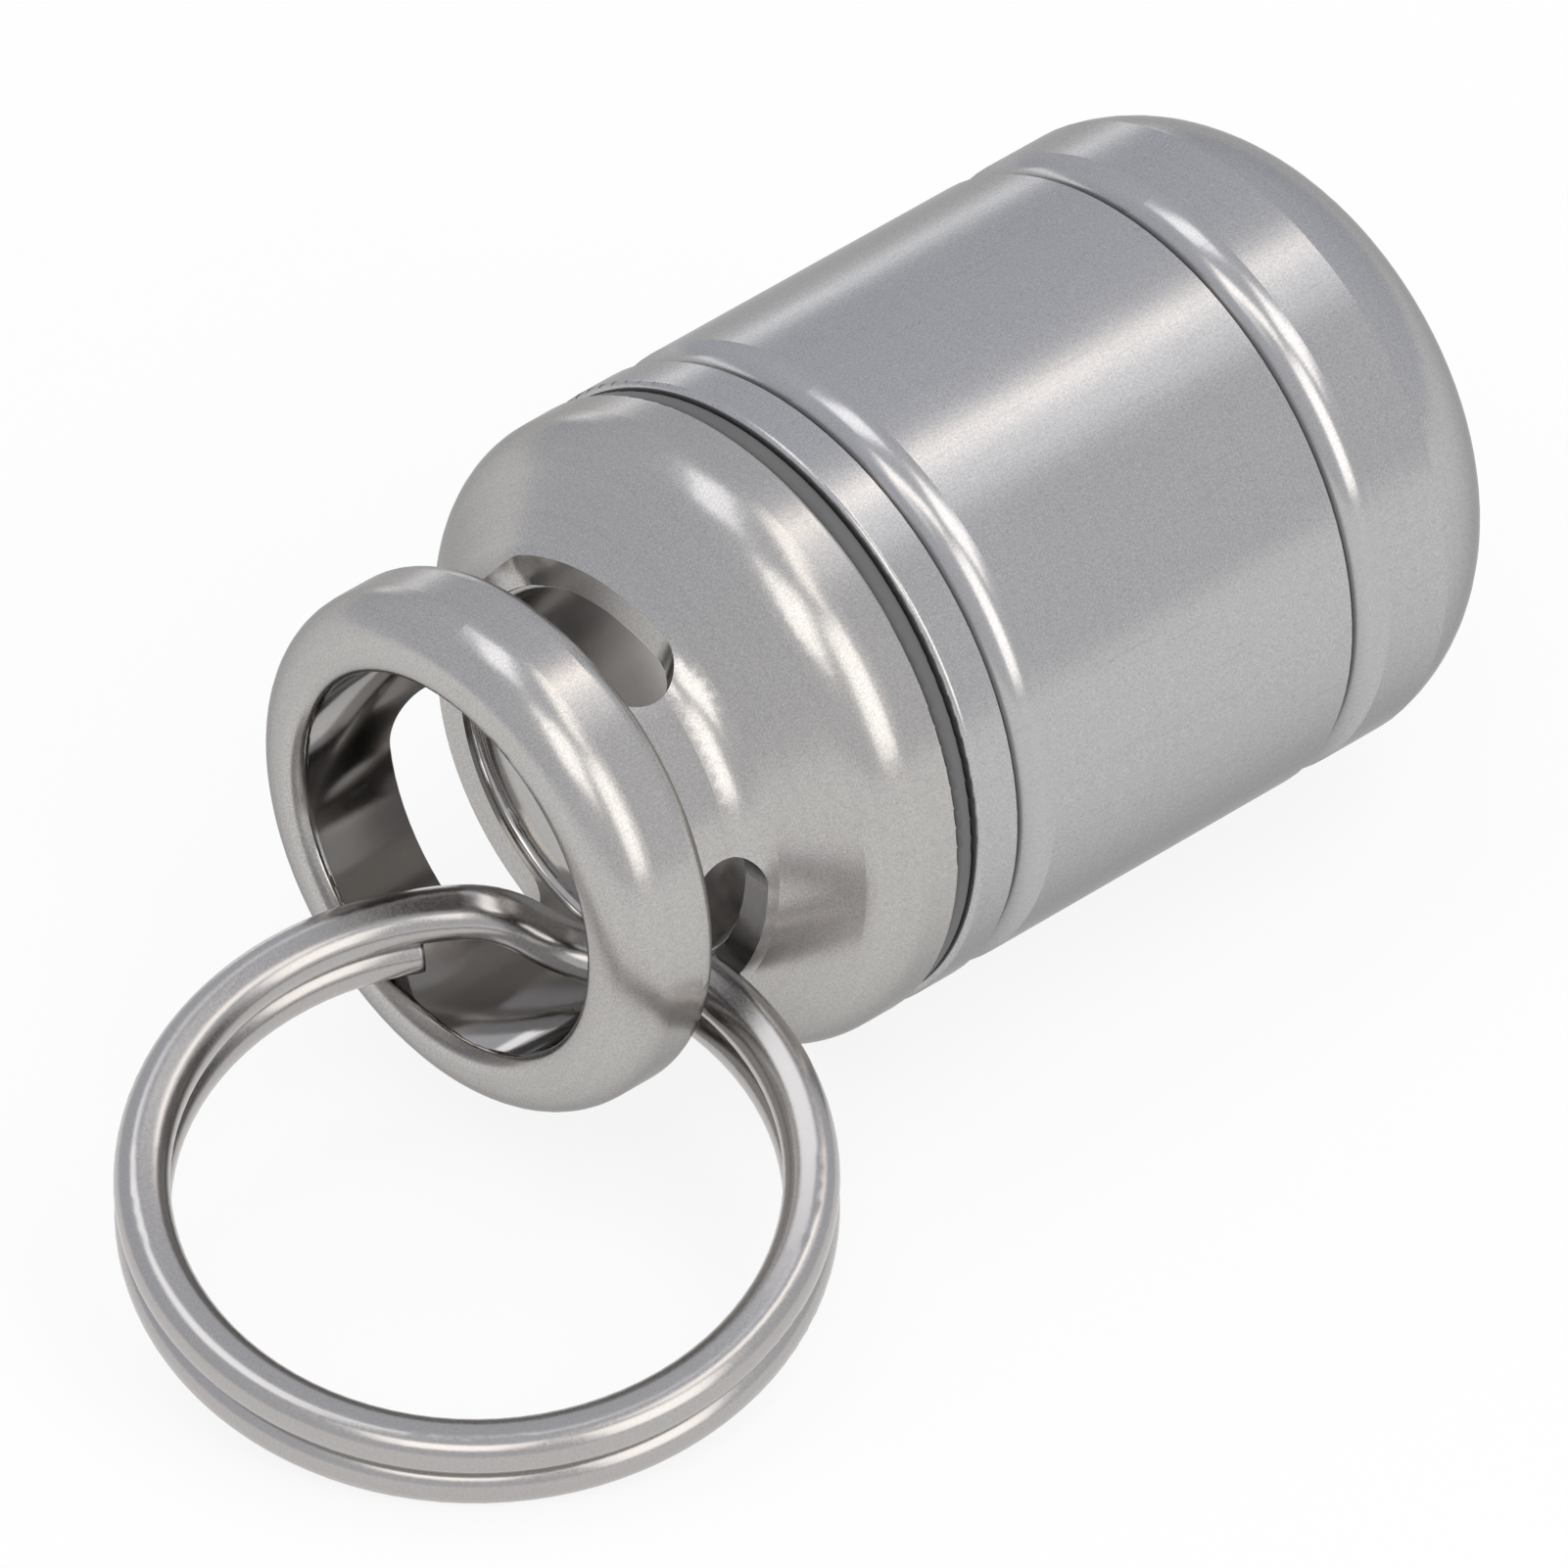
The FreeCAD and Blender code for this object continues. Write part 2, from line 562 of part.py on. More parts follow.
def make_split_ring():
    """Key ring: one flattened wire wound twice round, stepping from the lower coil up to the other."""
    radius = size("ring_outer_radius") - size("wire_width") / 2
    upper = (size("wire_thickness") + size("coil_gap")) / 2
    coil_start = size("coil_start")
    jog_start = size("jog_start") + FULL_TURN
    jog_end = size("jog_end") + FULL_TURN
    coil_end = size("coil_end") + 2 * FULL_TURN
    jog = step_arcs(*on_coil(jog_start, -upper, radius), *on_coil(jog_end, upper, radius))
    route = coil_arcs(coil_start, jog_start, -upper, radius) + jog
    route += coil_arcs(jog_end, coil_end, upper, radius)
    path = Part.Wire([arc.toShape() for arc in route])
    start = on_coil(coil_start, -upper, radius)[0]
    section = wire_section(start, FreeCAD.Vector(start.x, start.y, 0).normalize(), FreeCAD.Vector(0, 0, 1))
    ring = doc.addObject("Part::Feature", "split_ring")
    ring.Label = "split_ring"
    ring.Shape = path.makePipeShell([section], True, False)
    print("key ring wire: length", path.Length, "volume", ring.Shape.Volume,
          "section times length", Part.Face(section).Area * path.Length)
    print("key ring coils: least gap", least_coil_gap(path, (coil_end - coil_start) / FULL_TURN))
    return ring


def ring_placement():
    """The ring leans with its far side raised in the loop, its wire set off from the bore's bottom."""
    ring_turn = math.radians(size("ring_pass_turn"))
    wire = FreeCAD.Vector(
        size("bead_thickness") + size("ring_pass_setback"),
        -size("ring_pass_aside"),
        size("ring_pass_above") - size("bore_radius"))
    heading = FreeCAD.Rotation(FreeCAD.Vector(0, 0, 1), size("ring_heading"))
    lift = FreeCAD.Rotation(FreeCAD.Vector(1, 0, 0), size("ring_tilt"))
    turned_up = heading * lift
    outward = turned_up.multVec(FreeCAD.Vector(math.sin(ring_turn), math.cos(ring_turn), 0))
    hole_radius = size("ring_outer_radius") - size("wire_width")
    return FreeCAD.Placement(wire - outward * hole_radius, turned_up)


fill_sheet()
canister = make_canister()
screw_cap = make_screw_cap()
o_ring = make_o_ring()
split_ring = make_split_ring()
split_ring.Placement = ring_placement()
doc.recompute()
pieces = (canister, screw_cap, o_ring, split_ring)

whole = FreeCAD.BoundBox()
for piece in pieces:
    whole.add(piece.Shape.optimalBoundingBox(False, False))
to_floor = FreeCAD.Placement(
    FreeCAD.Vector(-whole.Center.x, -whole.Center.y, -whole.ZMin), FreeCAD.Rotation())
for piece in pieces:
    piece.Placement = to_floor * piece.Placement
doc.recompute()

for item in doc.Objects:
    if "Invalid" in item.State or "Error" in item.State:
        raise RuntimeError(f"{item.Name} failed: {item.State}")
for piece in pieces:
    if piece.Shape.isNull() or not piece.Shape.isValid() or len(piece.Shape.Solids) != 1:
        raise RuntimeError(f"{piece.Label} is not one sound solid")

os.makedirs("parts", exist_ok=True)
for piece in pieces:
    piece.Shape.exportStep(f"parts/{piece.Label}.step")
    print(piece.Label, "volume", round(piece.Shape.Volume, 2))
print("moved to the floor by", to_floor.Base)
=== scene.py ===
import math
import bpy
from mathutils import Matrix, Vector


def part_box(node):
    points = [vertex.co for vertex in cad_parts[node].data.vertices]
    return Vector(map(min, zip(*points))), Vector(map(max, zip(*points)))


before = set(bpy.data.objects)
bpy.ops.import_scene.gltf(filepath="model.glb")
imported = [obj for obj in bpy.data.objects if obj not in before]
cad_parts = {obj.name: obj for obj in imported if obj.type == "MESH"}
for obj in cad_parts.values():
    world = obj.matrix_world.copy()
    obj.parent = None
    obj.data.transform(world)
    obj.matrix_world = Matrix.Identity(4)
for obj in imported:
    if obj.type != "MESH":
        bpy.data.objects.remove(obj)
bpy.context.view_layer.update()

# Canister: a cup turned from one bar of stainless steel, closed and rounded at its far end, with two
# shallow grooves turned round the outside. It is tumbled with fine stones to an even satin grain, which
# stays a little smoother down in the grooves.
MM = 0.001
canister_low, canister_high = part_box("canister")
AXIS_Y = (canister_low.y + canister_high.y) / 2
AXIS_Z = (canister_low.z + canister_high.z) / 2
BARREL_RADIUS = (canister_high.z - canister_low.z) / 2
CANISTER_RIM = canister_low.x
RIM_ROUND = 0.18 * MM
RIM_REACH = 0.3 * MM
SEAL_SEAT_RADIUS = 8.0 * MM
GROOVE_OFFSETS = (2.06 * MM, 14.17 * MM)
GROOVE_HALF_WIDTH = 0.72 * MM
GROOVE_ROUGHNESS_SHARE = 0.9
TOWARDS_CAP = -1.0
CANISTER_DARK, CANISTER_PALE = "#9d9c9c", "#cecdcd"

STEEL_GRAIN = 0.055 * MM
STEEL_GRAIN_DEPTH = 0.01 * MM
STEEL_BUMP = 0.08
TOOL_RING = 0.25 * MM
HAIRLINE = 0.15 * MM
HAIRLINE_SQUEEZE = (0.05, 1.0, 1.0)
HAIRLINE_BAND = (0.58, 0.80)
HANDLING_PATCH = 5.0 * MM
NOISE_SPAN = (0.3, 0.7)
ZONE_FADE = 0.05
ZONE_DEPTH_POWER = 4.0
STEEL_ROUGHNESS = (0.21, 0.26)
HAIRLINE_ROUGHNESS = 0.03
MIDDLE_TONE, RING_TONE, GRAIN_TONE, HAIRLINE_TONE = 0.45, 0.12, 1.1, -0.12
STEEL_EDGE_TINT = "#c0c0c0"


def linear(hex_colour):
    """sRGB hex to linear: c/12.92 below 0.04045, else ((c + 0.055)/1.055)^2.4, with an alpha of 1."""
    parts = [int(hex_colour[start:start + 2], 16) / 255 for start in (1, 3, 5)]
    return [c / 12.92 if c <= 0.04045 else ((c + 0.055) / 1.055) ** 2.4 for c in parts] + [1.0]


def node(tree, kind, settings=None, inputs=None, links=None):
    """Add a node, set its properties and its inputs' values, and link other nodes' outputs into it."""
    made = tree.nodes.new(kind)
    for name, value in (settings or {}).items():
        setattr(made, name, value)
    for key, value in (inputs or {}).items():
        made.inputs[key].default_value = value
    for key, output in (links or {}).items():
        tree.links.new(output, made.inputs[key])
    return made


def new_material(name):
    """An empty material and its node tree."""
    made = bpy.data.materials.new(name)
    made.use_nodes = True
    made.node_tree.nodes.clear()
    return made, made.node_tree


def dress(name, material):
    """Give a CAD node its material."""
    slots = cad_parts[name].data.materials
    slots.clear()
    slots.append(material)


def turned_coordinates(tree):
    """Object coordinates, and from them the station along the lathe's axis, the radius and the arm out from it."""
    place = node(tree, "ShaderNodeTexCoord").outputs["Object"]
    apart = node(tree, "ShaderNodeSeparateXYZ", links={0: place})
    arm = node(tree, "ShaderNodeVectorMath", {"operation": "SUBTRACT"}, {1: (0.0, AXIS_Y, AXIS_Z)}, {0: place})
    arm = node(tree, "ShaderNodeVectorMath", {"operation": "MULTIPLY"}, {1: (0.0, 1.0, 1.0)}, {0: arm.outputs[0]})
    radius = node(tree, "ShaderNodeVectorMath", {"operation": "LENGTH"}, links={0: arm.outputs[0]})
    return place, apart.outputs["X"], radius.outputs["Value"], arm.outputs[0]


def rim_normal(tree, station, radius, arm, rim, side):
    """Normal of a rim with a rounded edge: along the axis on its face, outwards on the barrel, turning between.

    From the middle of the rounding's section, the step along the axis towards the rim and the step outwards,
    each no less than 0, point along it. Side is the rim's direction along X, -1 or 1. Further than RIM_REACH
    from the rim, and inside the seal's seat, the mesh's own normal is kept.
    """
    along = node(tree, "ShaderNodeMath", {"operation": "SUBTRACT"}, {1: rim - side * RIM_ROUND}, {0: station})
    along = node(tree, "ShaderNodeMath", {"operation": "MULTIPLY"}, {1: side}, {0: along.outputs[0]})
    along = node(tree, "ShaderNodeMath", {"operation": "MAXIMUM"}, {1: 0.0}, {0: along.outputs[0]})
    outwards = node(tree, "ShaderNodeMath", {"operation": "SUBTRACT"}, {1: BARREL_RADIUS - RIM_ROUND}, {0: radius})
    outwards = node(tree, "ShaderNodeMath", {"operation": "MAXIMUM"}, {1: 0.0}, {0: outwards.outputs[0]})
    ahead = node(tree, "ShaderNodeVectorMath", {"operation": "SCALE"}, {0: (side, 0.0, 0.0)},
                 {"Scale": along.outputs[0]})
    aside = node(tree, "ShaderNodeVectorMath", {"operation": "NORMALIZE"}, links={0: arm})
    aside = node(tree, "ShaderNodeVectorMath", {"operation": "SCALE"},
                 links={0: aside.outputs[0], "Scale": outwards.outputs[0]})
    turned = node(tree, "ShaderNodeVectorMath", {"operation": "ADD"},
                  links={0: ahead.outputs[0], 1: aside.outputs[0]})
    turned = node(tree, "ShaderNodeVectorTransform",
                  {"vector_type": "VECTOR", "convert_from": "OBJECT", "convert_to": "WORLD"},
                  links={0: turned.outputs[0]})
    near = node(tree, "ShaderNodeMath", {"operation": "COMPARE"}, {1: rim, 2: RIM_REACH}, {0: station})
    outer = node(tree, "ShaderNodeMath", {"operation": "GREATER_THAN"}, {1: SEAL_SEAT_RADIUS}, {0: radius})
    near = node(tree, "ShaderNodeMath", {"operation": "MULTIPLY"}, links={0: near.outputs[0], 1: outer.outputs[0]})
    own = node(tree, "ShaderNodeNewGeometry")
    picked = node(tree, "ShaderNodeMix", {"data_type": "VECTOR"},
                  links={"Factor": near.outputs[0], "A": own.outputs["Normal"], "B": turned.outputs[0]})
    return node(tree, "ShaderNodeVectorMath", {"operation": "NORMALIZE"},
                links={0: picked.outputs["Result"]}).outputs[0]


def satin_stainless_steel(name, dark, pale, smoother_zones, rim, side):
    """Stainless steel, 18/8 grade, turned and then tumbled satin: a neutral grey metal with an even fine grain.

    Tumbling leaves a grain of about 0.03 mm, drawn coarser, at STEEL_GRAIN, so that it shows. Faint rings of
    the lathe tool, noise over (station, radius), lie under it in the tone alone, and hairlines from pockets
    run along the axis, twenty times as long as they are wide, also drawn coarser than the real ones. The tone
    between dark and pale is MIDDLE_TONE plus each of these times its own tone. A smoother zone is where the
    tumbling stones reach less: its middle station, half its length, the radius that it lies within, and the
    share of the roughness that is left there, over a fade of ZONE_FADE of its length. The grain's depth falls
    with the fourth power of that share.
    """
    made, tree = new_material(name)
    place, station, radius, arm = turned_coordinates(tree)
    ring_place = node(tree, "ShaderNodeCombineXYZ", links={0: station, 1: radius})
    rings = node(tree, "ShaderNodeTexNoise", {"noise_dimensions": "2D"},
                 {"Scale": 1 / TOOL_RING, "Detail": 2.0, "Roughness": 0.6}, {"Vector": ring_place.outputs[0]})
    grain = node(tree, "ShaderNodeTexNoise", inputs={"Scale": 1 / STEEL_GRAIN, "Detail": 1.0, "Roughness": 0.6},
                 links={"Vector": place})
    handling = node(tree, "ShaderNodeTexNoise",
                    inputs={"Scale": 1 / HANDLING_PATCH, "Detail": 5.0, "Roughness": 0.6}, links={"Vector": place})
    stretched = node(tree, "ShaderNodeVectorMath", {"operation": "MULTIPLY"}, {1: HAIRLINE_SQUEEZE}, {0: place})
    hairlines = node(tree, "ShaderNodeTexNoise", inputs={"Scale": 1 / HAIRLINE, "Detail": 2.0},
                     links={"Vector": stretched.outputs[0]})
    scratched = node(tree, "ShaderNodeMapRange", inputs={"From Min": HAIRLINE_BAND[0], "From Max": HAIRLINE_BAND[1]},
                     links={"Value": hairlines.outputs["Fac"]})

    handled = node(tree, "ShaderNodeMapRange",
                   inputs={"From Min": NOISE_SPAN[0], "From Max": NOISE_SPAN[1],
                           "To Min": STEEL_ROUGHNESS[0], "To Max": STEEL_ROUGHNESS[1]},
                   links={"Value": handling.outputs["Fac"]})
    roughness = node(tree, "ShaderNodeMath", {"operation": "MULTIPLY_ADD"}, {1: HAIRLINE_ROUGHNESS},
                     {0: scratched.outputs[0], 2: handled.outputs[0]})
    pitted = node(tree, "ShaderNodeMath", {"operation": "SUBTRACT"}, {1: 0.5}, {0: grain.outputs["Fac"]})
    for middle, half_length, within, share in smoother_zones:
        away = node(tree, "ShaderNodeMath", {"operation": "SUBTRACT"}, {1: middle}, {0: station})
        away = node(tree, "ShaderNodeMath", {"operation": "ABSOLUTE"}, links={0: away.outputs[0]})
        along = node(tree, "ShaderNodeMapRange",
                     inputs={"From Min": half_length * (1 - ZONE_FADE), "From Max": half_length * (1 + ZONE_FADE),
                             "To Min": 1.0 - share, "To Max": 0.0},
                     links={"Value": away.outputs[0]})
        inside = node(tree, "ShaderNodeMath", {"operation": "LESS_THAN"}, {1: within}, {0: radius})
        less = node(tree, "ShaderNodeMath", {"operation": "MULTIPLY"},
                    links={0: along.outputs[0], 1: inside.outputs[0]})
        kept = node(tree, "ShaderNodeMath", {"operation": "SUBTRACT"}, {0: 1.0}, {1: less.outputs[0]})
        roughness = node(tree, "ShaderNodeMath", {"operation": "MULTIPLY"},
                         links={0: roughness.outputs[0], 1: kept.outputs[0]})
        flatter = node(tree, "ShaderNodeMath", {"operation": "POWER"}, {1: ZONE_DEPTH_POWER},
                       {0: kept.outputs[0]})
        pitted = node(tree, "ShaderNodeMath", {"operation": "MULTIPLY"},
                      links={0: pitted.outputs[0], 1: flatter.outputs[0]})

    tone = node(tree, "ShaderNodeMath", {"operation": "MULTIPLY_ADD"}, {1: RING_TONE, 2: MIDDLE_TONE},
                {0: rings.outputs["Fac"]})
    for tone_share, pattern in ((GRAIN_TONE, pitted), (HAIRLINE_TONE, scratched)):
        tone = node(tree, "ShaderNodeMath", {"operation": "MULTIPLY_ADD"}, {1: tone_share},
                    {0: pattern.outputs[0], 2: tone.outputs[0]})
    colour = node(tree, "ShaderNodeMix", {"data_type": "RGBA"}, {"A": linear(dark), "B": linear(pale)},
                  {"Factor": tone.outputs[0]})
    bump = node(tree, "ShaderNodeBump", inputs={"Strength": STEEL_BUMP, "Distance": STEEL_GRAIN_DEPTH},
                links={"Height": pitted.outputs[0], "Normal": rim_normal(tree, station, radius, arm, rim, side)})
    steel = node(tree, "ShaderNodeBsdfPrincipled",
                 inputs={"Metallic": 1.0, "Specular Tint": linear(STEEL_EDGE_TINT)},
                 links={"Base Color": colour.outputs["Result"], "Roughness": roughness.outputs[0],
                        "Normal": bump.outputs[0]})
    node(tree, "ShaderNodeOutputMaterial", links={"Surface": steel.outputs[0]})
    return made


groove_zones = [(CANISTER_RIM + offset, GROOVE_HALF_WIDTH, 2 * BARREL_RADIUS, GROOVE_ROUGHNESS_SHARE)
                for offset in GROOVE_OFFSETS]
dress("canister", satin_stainless_steel("satin_turned_steel_canister", CANISTER_DARK, CANISTER_PALE,
                                        groove_zones, CANISTER_RIM, TOWARDS_CAP))

# Seal: a dark grey nitrile rubber ring, moulded, squeezed between the two rims so that only its rounded
# edge shows as a dark line at the seam. It sits on the plain land of the cap's spigot.
RUBBER_DARK, RUBBER_PALE = "#585858", "#686868"
RUBBER_BLOOM = 1.5 * MM
RUBBER_ROUGHNESS = (0.5, 0.75)
RUBBER_IOR = 1.52
MOULD_GRAIN = 0.08 * MM
MOULD_GRAIN_DEPTH = 0.02 * MM
RUBBER_BUMP = 0.2


def moulded_rubber():
    """Moulded nitrile rubber: dull dark grey, with a faint bloom and the fine grain of its mould.

    The mould's grain is about 0.02 mm, drawn coarser, at MOULD_GRAIN, so that it shows.
    """
    made, tree = new_material("moulded_nitrile_rubber")
    place = node(tree, "ShaderNodeTexCoord").outputs["Object"]
    bloom = node(tree, "ShaderNodeTexNoise", inputs={"Scale": 1 / RUBBER_BLOOM, "Detail": 3.0},
                 links={"Vector": place})
    mould = node(tree, "ShaderNodeTexNoise", inputs={"Scale": 1 / MOULD_GRAIN, "Detail": 2.0},
                 links={"Vector": place})
    colour = node(tree, "ShaderNodeMix", {"data_type": "RGBA"},
                  {"A": linear(RUBBER_DARK), "B": linear(RUBBER_PALE)}, {"Factor": bloom.outputs["Fac"]})
    roughness = node(tree, "ShaderNodeMapRange",
                     inputs={"To Min": RUBBER_ROUGHNESS[0], "To Max": RUBBER_ROUGHNESS[1]},
                     links={"Value": bloom.outputs["Fac"]})
    bump = node(tree, "ShaderNodeBump", inputs={"Strength": RUBBER_BUMP, "Distance": MOULD_GRAIN_DEPTH},
                links={"Height": mould.outputs["Fac"]})
    rubber = node(tree, "ShaderNodeBsdfPrincipled", inputs={"IOR": RUBBER_IOR},
                  links={"Base Color": colour.outputs["Result"], "Roughness": roughness.outputs[0],
                         "Normal": bump.outputs[0]})
    node(tree, "ShaderNodeOutputMaterial", links={"Surface": rubber.outputs[0]})
    return made


dress("o_ring", moulded_rubber())

# Screw cap: turned from the same bar stock, with a rounded bead, a drawn-in neck with three milled slots,
# and a blind bore in front, reamed smoother than the outside. Its threaded spigot screws into the canister
# and pulls the seal tight.
cap_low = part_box("screw_cap")[0]
SEAM_GAP = 0.65 * MM
BORE_RADIUS = 5.47 * MM
BORE_ALLOWANCE = 0.03 * MM
BORE_DEPTH = 6.3 * MM
BORE_ROUGHNESS_SHARE = 0.45
TOWARDS_CANISTER = 1.0
CAP_DARK, CAP_PALE = "#9d9b99", "#cecbc8"
reamed_bore = (cap_low.x + BORE_DEPTH / 2, BORE_DEPTH / 2, BORE_RADIUS + BORE_ALLOWANCE, BORE_ROUGHNESS_SHARE)
dress("screw_cap", satin_stainless_steel("satin_turned_steel_cap", CAP_DARK, CAP_PALE, [reamed_bore],
                                         CANISTER_RIM - SEAM_GAP, TOWARDS_CANISTER))

# Split ring: round spring steel wire, flattened a little, wound twice round, nickel plated and polished. It
# is threaded in at the loop's mouth and out through one slot, and it lies with its near edge on the floor.
NICKEL_DARK, NICKEL_PALE = "#a6a3a1", "#bebbb9"
NICKEL_ROUGHNESS = (0.17, 0.25)
NICKEL_GRAIN = 0.07 * MM
ROLLING_WAVE = 1.2 * MM
ROLLING_DEPTH = 0.03 * MM
GRAIN_SHARE = 0.1
NICKEL_BUMP = 0.15
WORN_EDGE = 0.2 * MM


def polished_nickel_plate():
    """Nickel plate, polished by tumbling: slightly warm metal with soft waves from rolling and a fine grain.

    The grain is about 0.03 mm, drawn coarser, at NICKEL_GRAIN, so that it shows. The wire's edges are worn
    round, which a Bevel node gives the shading by averaging the normals within WORN_EDGE.
    """
    made, tree = new_material("polished_nickel_plate")
    place = node(tree, "ShaderNodeTexCoord").outputs["Object"]
    rolling = node(tree, "ShaderNodeTexNoise", inputs={"Scale": 1 / ROLLING_WAVE, "Detail": 2.0},
                   links={"Vector": place})
    grain = node(tree, "ShaderNodeTexNoise", inputs={"Scale": 1 / NICKEL_GRAIN, "Detail": 2.0, "Roughness": 0.7},
                 links={"Vector": place})
    colour = node(tree, "ShaderNodeMix", {"data_type": "RGBA"},
                  {"A": linear(NICKEL_DARK), "B": linear(NICKEL_PALE)}, {"Factor": grain.outputs["Fac"]})
    roughness = node(tree, "ShaderNodeMapRange",
                     inputs={"From Min": NOISE_SPAN[0], "From Max": NOISE_SPAN[1],
                             "To Min": NICKEL_ROUGHNESS[0], "To Max": NICKEL_ROUGHNESS[1]},
                     links={"Value": grain.outputs["Fac"]})
    height = node(tree, "ShaderNodeMath", {"operation": "MULTIPLY_ADD"}, {1: GRAIN_SHARE},
                  {0: grain.outputs["Fac"], 2: rolling.outputs["Fac"]})
    worn = node(tree, "ShaderNodeBevel", {"samples": 8}, {"Radius": WORN_EDGE})
    bump = node(tree, "ShaderNodeBump", inputs={"Strength": NICKEL_BUMP, "Distance": ROLLING_DEPTH},
                links={"Height": height.outputs[0], "Normal": worn.outputs[0]})
    nickel = node(tree, "ShaderNodeBsdfPrincipled", inputs={"Metallic": 1.0},
                  links={"Base Color": colour.outputs["Result"], "Roughness": roughness.outputs[0],
                         "Normal": bump.outputs[0]})
    node(tree, "ShaderNodeOutputMaterial", links={"Surface": nickel.outputs[0]})
    return made


dress("split_ring", polished_nickel_plate())

# Table top: a plain white board that the fob lies on, far larger than the view.
# It shows white to the camera and in the metal, and keeps the fob's soft shadow.
FLOOR_REACH = 3.0
FLOOR_COLOUR = "#f7f7f7"
FLOOR_WHITE_SHARE = 0.85
floor_mesh = bpy.data.meshes.new("floor")
floor_mesh.from_pydata([(-FLOOR_REACH, -FLOOR_REACH, 0), (FLOOR_REACH, -FLOOR_REACH, 0),
                        (FLOOR_REACH, FLOOR_REACH, 0), (-FLOOR_REACH, FLOOR_REACH, 0)], [], [(0, 1, 2, 3)])
floor = bpy.data.objects.new("floor", floor_mesh)
bpy.context.scene.collection.objects.link(floor)
floor_board, floor_tree = new_material("white_board")
path = node(floor_tree, "ShaderNodeLightPath")
board = node(floor_tree, "ShaderNodeBsdfDiffuse", inputs={"Color": linear(FLOOR_COLOUR)})
white = node(floor_tree, "ShaderNodeEmission", inputs={"Color": (1, 1, 1, 1), "Strength": 1.0})
looks = node(floor_tree, "ShaderNodeMath", {"operation": "ADD"},
             links={0: path.outputs["Is Camera Ray"], 1: path.outputs["Is Glossy Ray"]})
looks = node(floor_tree, "ShaderNodeMath", {"operation": "ADD", "use_clamp": True},
             links={0: looks.outputs[0], 1: path.outputs["Is Transmission Ray"]})
white_share = node(floor_tree, "ShaderNodeMath", {"operation": "MULTIPLY"}, {1: FLOOR_WHITE_SHARE},
                   {0: looks.outputs[0]})
mixed = node(floor_tree, "ShaderNodeMixShader",
             links={0: white_share.outputs[0], 1: board.outputs[0], 2: white.outputs[0]})
node(floor_tree, "ShaderNodeOutputMaterial", links={"Surface": mixed.outputs[0]})
floor_mesh.materials.append(floor_board)

# Studio: a pale dome, cooler behind, with two windows on the loop's side, two panels overhead, two strips
# above the barrel's far end and a low window behind. Their reflections are the pale bands on the steel.
DOME_STRENGTH = 0.95
DOME_BEHIND, DOME_IN_FRONT = "#dbdee6", "#e6e7ea"
DOME_FRONT = (-0.3, -0.95, 0.0)
DOME_TURN = (-0.6, 0.9)
SUBJECT = Vector((1.0, 1.0, 8.0)) * MM
LAMP_DISTANCE = 0.6
world = bpy.data.worlds.new("studio_dome")
bpy.context.scene.world = world
world.use_nodes = True
dome_tree = world.node_tree
dome_tree.nodes.clear()
direction = node(dome_tree, "ShaderNodeTexCoord").outputs["Generated"]
frontness = node(dome_tree, "ShaderNodeVectorMath", {"operation": "DOT_PRODUCT"}, {1: DOME_FRONT}, {0: direction})
frontness = node(dome_tree, "ShaderNodeMapRange", {"interpolation_type": "SMOOTHSTEP"},
                 {"From Min": DOME_TURN[0], "From Max": DOME_TURN[1]}, {"Value": frontness.outputs["Value"]})
tint = node(dome_tree, "ShaderNodeMix", {"data_type": "RGBA"},
            {"A": linear(DOME_BEHIND), "B": linear(DOME_IN_FRONT)}, {"Factor": frontness.outputs[0]})
dome = node(dome_tree, "ShaderNodeBackground", inputs={"Strength": DOME_STRENGTH},
            links={"Color": tint.outputs["Result"]})
node(dome_tree, "ShaderNodeOutputWorld", links={"Surface": dome.outputs[0]})


def soft_box(name, heading, height, width, tall, glow, colour):
    """Rectangular soft light seen from the fob at a heading from +X and a height, in degrees, and facing it.

    Its width and tallness are angles too, 2 * distance * tan(half the angle), and glow is its radiance.
    """
    lamp = bpy.data.lights.new(name, "AREA")
    lamp.shape = "RECTANGLE"
    lamp.size = 2 * LAMP_DISTANCE * math.tan(math.radians(width / 2))
    lamp.size_y = 2 * LAMP_DISTANCE * math.tan(math.radians(tall / 2))
    lamp.energy = glow * math.pi * lamp.size * lamp.size_y
    lamp.color = linear(colour)[:3]
    box = bpy.data.objects.new(name, lamp)
    bpy.context.scene.collection.objects.link(box)
    turn, rise = math.radians(heading), math.radians(height)
    away = Vector((math.cos(rise) * math.cos(turn), math.cos(rise) * math.sin(turn), math.sin(rise)))
    facing = away.to_track_quat("Z", "Y").to_matrix().to_4x4()
    box.matrix_world = Matrix.Translation(SUBJECT + away * LAMP_DISTANCE) @ facing


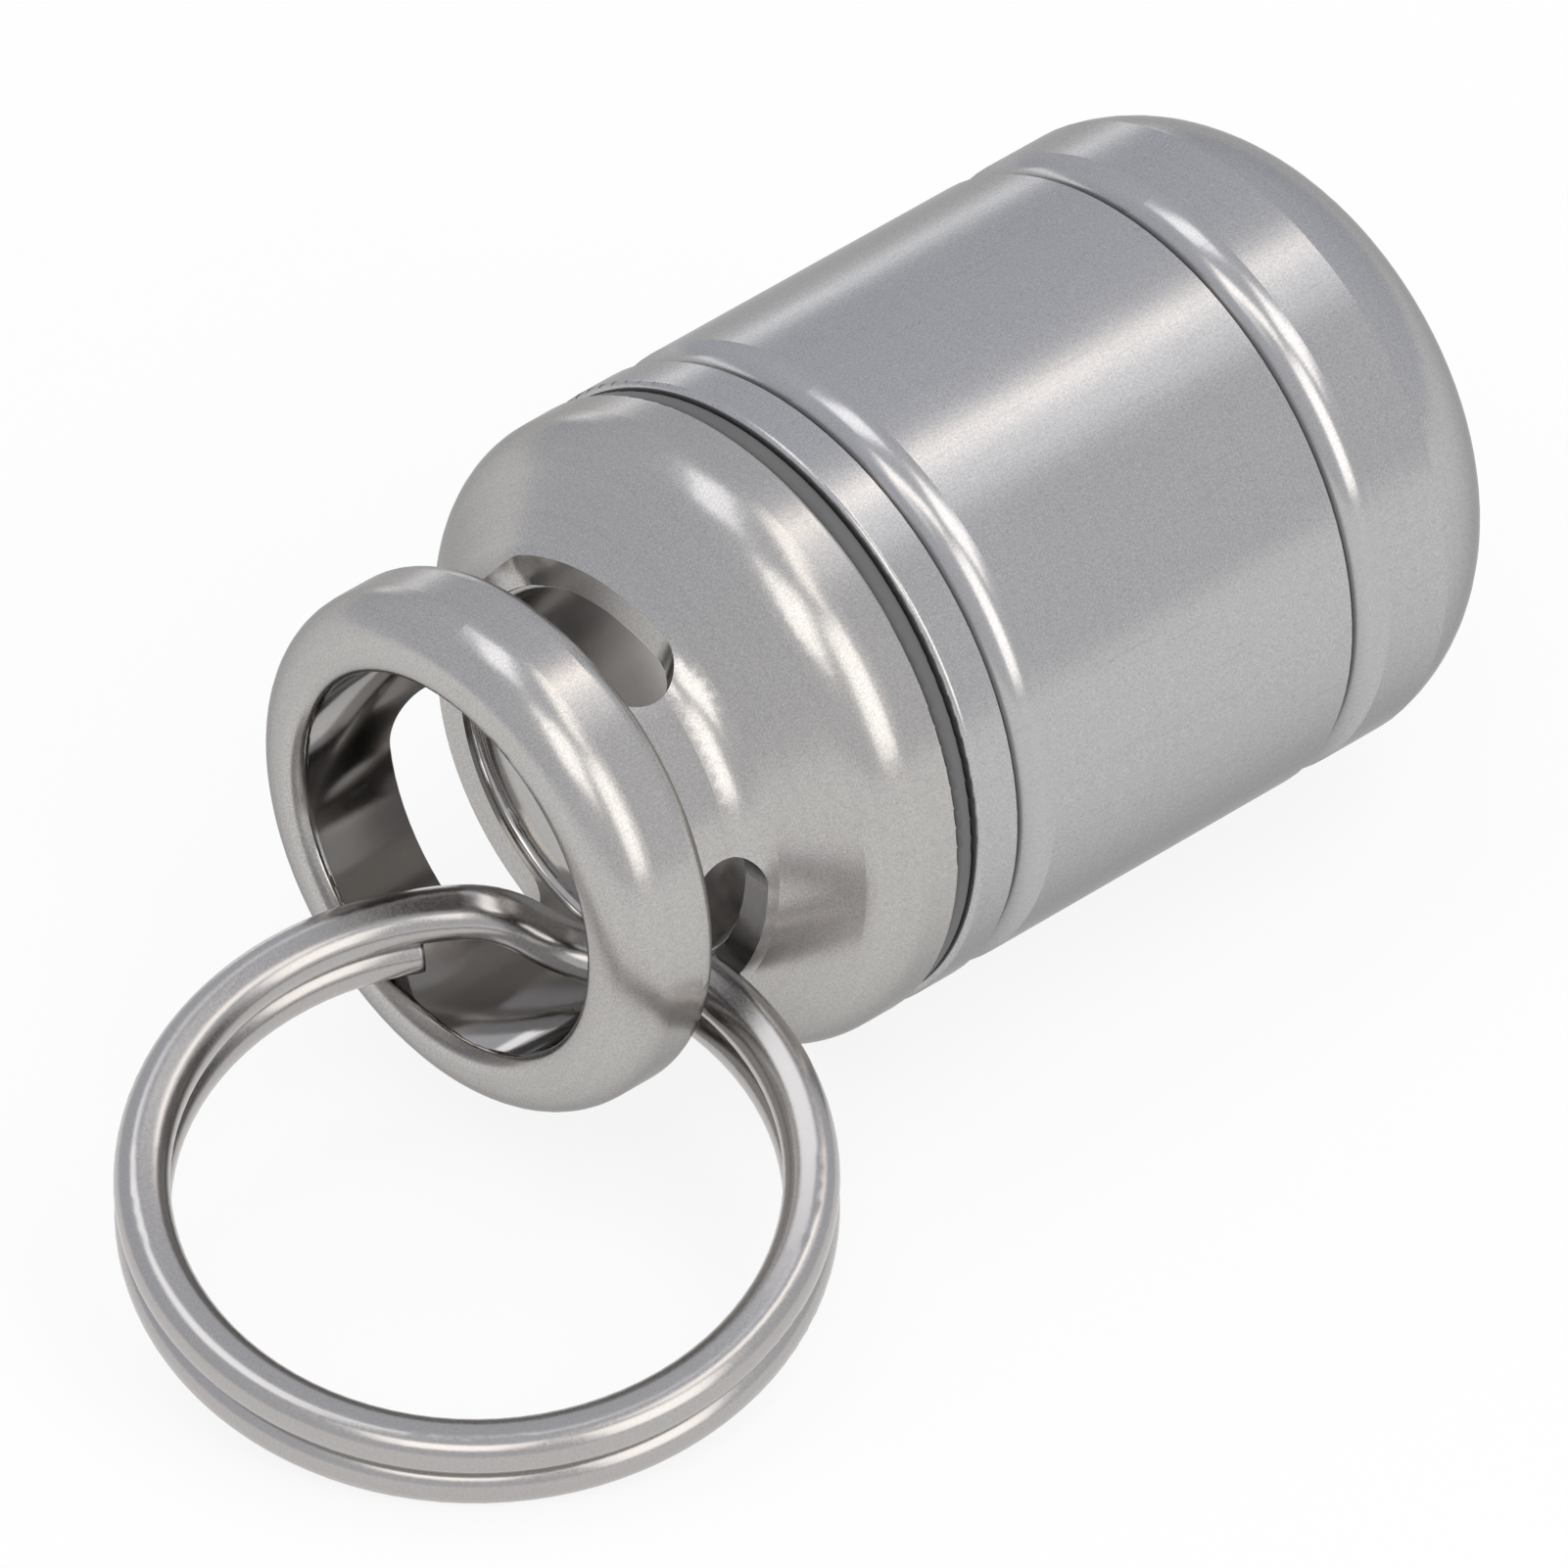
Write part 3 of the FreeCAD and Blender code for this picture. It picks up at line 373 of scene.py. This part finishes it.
soft_box("near_window", heading=-142, height=49, width=26, tall=31, glow=1.6, colour="#fffaf4")
soft_box("side_window", heading=-88, height=30, width=30, tall=46, glow=1.5, colour="#fffaf4")
soft_box("front_panel", heading=-40, height=69, width=38, tall=15, glow=1.5, colour="#fff8f0")
soft_box("back_panel", heading=107, height=72, width=34, tall=19, glow=1.2, colour="#ffffff")
soft_box("low_back_window", heading=57, height=5, width=24, tall=8, glow=1.2, colour="#ffffff")
soft_box("warm_strip", heading=-4, height=56, width=9, tall=16, glow=0.65, colour="#ffeedc")
soft_box("cool_strip", heading=-18, height=52, width=19, tall=15, glow=0.5, colour="#ffffff")

# Camera: at the photograph's angle, from far off with a long lens, so that edges stay nearly parallel. A
# point on the capsule's axis, just inside the canister's rim, is set on its pixel of the photograph.
AZIMUTH = math.radians(-43.2)
ELEVATION = math.radians(37.3)
PHOTO_SIDE = 1601.0
PIXELS_PER_METRE = 39040.0
FOCAL_PIXELS = 30000.0
SENSOR_WIDTH = 36.0
NEAREST, FARTHEST = 0.05, 20.0
ANCHOR_INSET = 0.62 * MM
ANCHOR = Vector((CANISTER_RIM + ANCHOR_INSET, AXIS_Y, AXIS_Z))
ANCHOR_PIXEL = (775.7, 701.5)
right = Vector((math.cos(AZIMUTH), math.sin(AZIMUTH), 0))
back = Vector((math.sin(AZIMUTH) * math.cos(ELEVATION), -math.cos(AZIMUTH) * math.cos(ELEVATION),
               math.sin(ELEVATION)))
up = back.cross(right)
target = (ANCHOR + right * (PHOTO_SIDE / 2 - ANCHOR_PIXEL[0]) / PIXELS_PER_METRE
          + up * (ANCHOR_PIXEL[1] - PHOTO_SIDE / 2) / PIXELS_PER_METRE)
lens = bpy.data.cameras.new("camera")
lens.sensor_width = SENSOR_WIDTH
lens.lens = SENSOR_WIDTH * FOCAL_PIXELS / PHOTO_SIDE
lens.clip_start = NEAREST
lens.clip_end = FARTHEST
camera = bpy.data.objects.new("camera", lens)
bpy.context.scene.collection.objects.link(camera)
facing = Matrix((right, up, back)).transposed().to_4x4()
camera.matrix_world = Matrix.Translation(target + back * FOCAL_PIXELS / PIXELS_PER_METRE) @ facing
bpy.context.scene.camera = camera
bpy.context.scene.view_settings.view_transform = "Standard"
